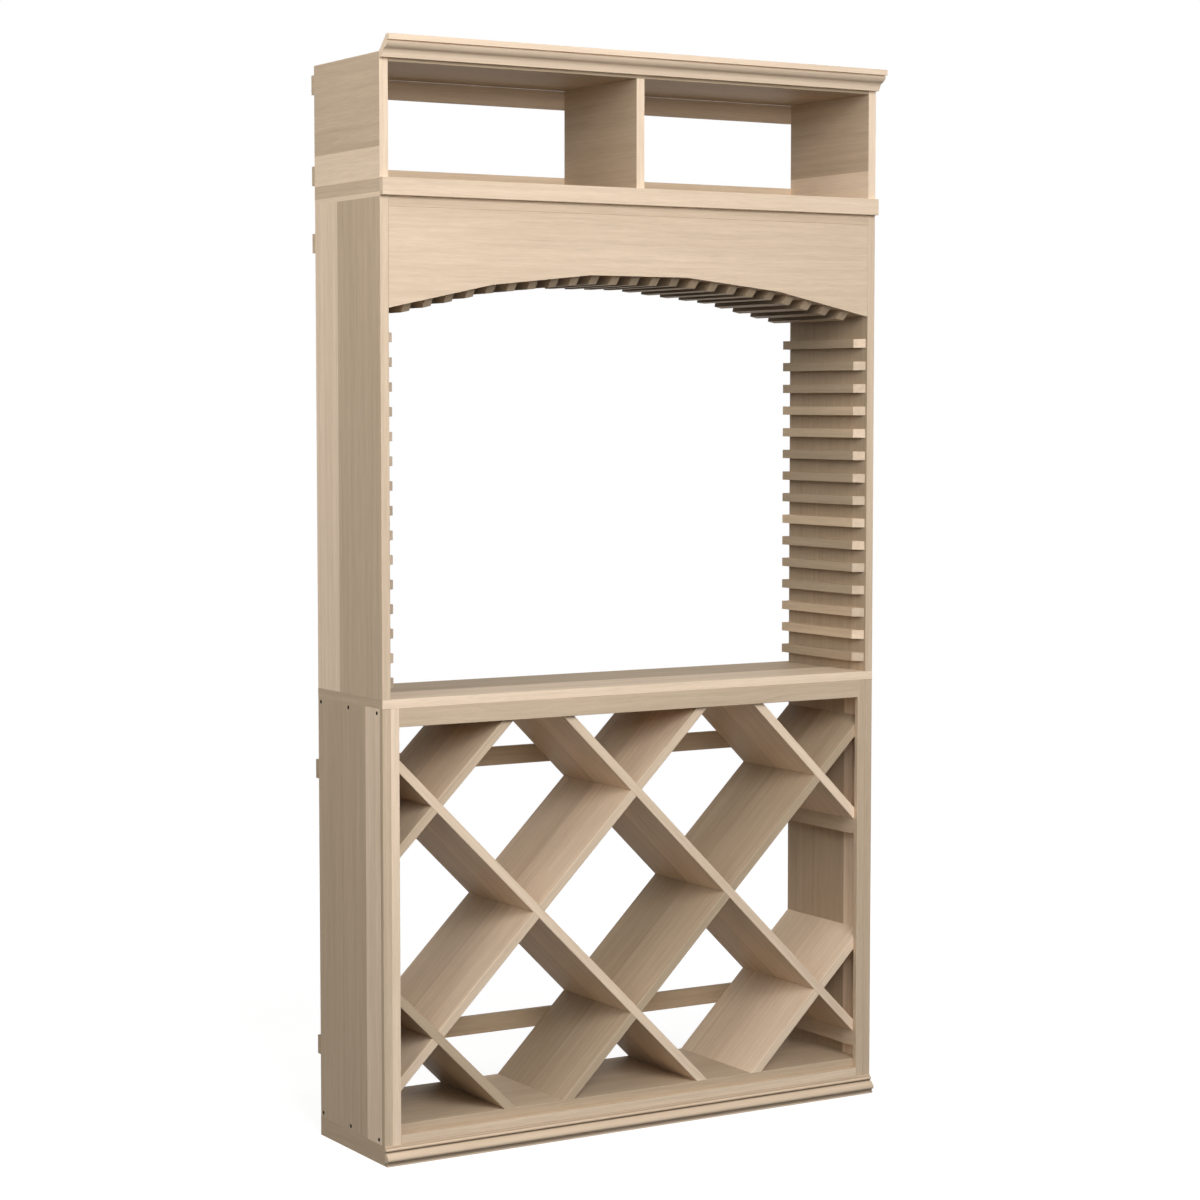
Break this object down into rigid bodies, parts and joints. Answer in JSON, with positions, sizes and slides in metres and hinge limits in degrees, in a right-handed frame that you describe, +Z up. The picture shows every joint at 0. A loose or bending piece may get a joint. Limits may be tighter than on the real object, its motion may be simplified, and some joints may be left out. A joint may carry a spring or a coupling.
{
  "type": "wine tasting cabinet",
  "caption": "Tall open wooden cabinet with a diamond bottle lattice below a tabletop, an arched alcove with slatted walls, and an open bottle case under a crown.",
  "frame": {"origin": "on the floor under the middle of the cabinet's whole box", "axes": "+Z up, +X to the right seen from the front, -Y towards the user"},
  "size_m": [1.2192, 0.3518, 2.271],
  "materials": {
    "pale_wood": "fine straight grain, satin lacquer",
    "wood": "fine straight grain, satin lacquer",
    "tan_wood": "fine straight grain, satin lacquer",
    "brown_wood": "fine straight grain, satin lacquer",
    "screw_steel": "dull zinc"
  },
  "bodies": {
    "root": {"plinth_left": "brown_wood", "plinth_right": "brown_wood", "plinth_front": "brown_wood", "plinth_rear": "brown_wood", "base_moulding": "pale_wood", "base_left_side": "tan_wood", "base_right_side": "tan_wood", "base_bottom_panel": "wood", "base_top_panel": "wood", "outer_strip_left": "brown_wood", "outer_strip_right": "brown_wood", "inner_stile_left": "wood", "inner_stile_right": "wood", "front_top_rail": "tan_wood", "front_bottom_rail": "wood", "left_wall_cleats": "wood", "right_wall_cleats": "wood", "lattice_floor_board": "wood", "lattice_roof_board": "wood", "lattice_fall_1": "wood", "lattice_fall_2": "wood", "lattice_fall_3": "tan_wood", "lattice_fall_4": "tan_wood", "lattice_rise_1": "tan_wood", "lattice_rise_2": "tan_wood", "lattice_rise_3": "wood", "lattice_rise_4": "wood", "left_side_screws": "screw_steel", "right_side_screws": "screw_steel", "tabletop": "wood", "tall_left_side": "tan_wood", "tall_right_side": "tan_wood", "tall_top_panel": "wood", "tall_cap_board": "pale_wood", "arch_front_panel": "wood", "arch_ceiling_panel": "wood", "arch_rear_rib": "wood", "arch_slats": "tan_wood", "left_wall_rails": "tan_wood", "right_wall_rails": "tan_wood", "case_shelf_board": "tan_wood", "case_left_side": "wood", "case_right_side": "wood", "case_top_board": "wood", "case_divider": "pale_wood", "ledge_board": "pale_wood", "crown_moulding": "pale_wood", "base_lower_back_rail": "tan_wood", "base_upper_back_rail": "tan_wood", "arch_back_rail": "tan_wood", "case_lower_back_rail": "tan_wood", "case_upper_back_rail": "tan_wood"}
  },
  "joints": []
}
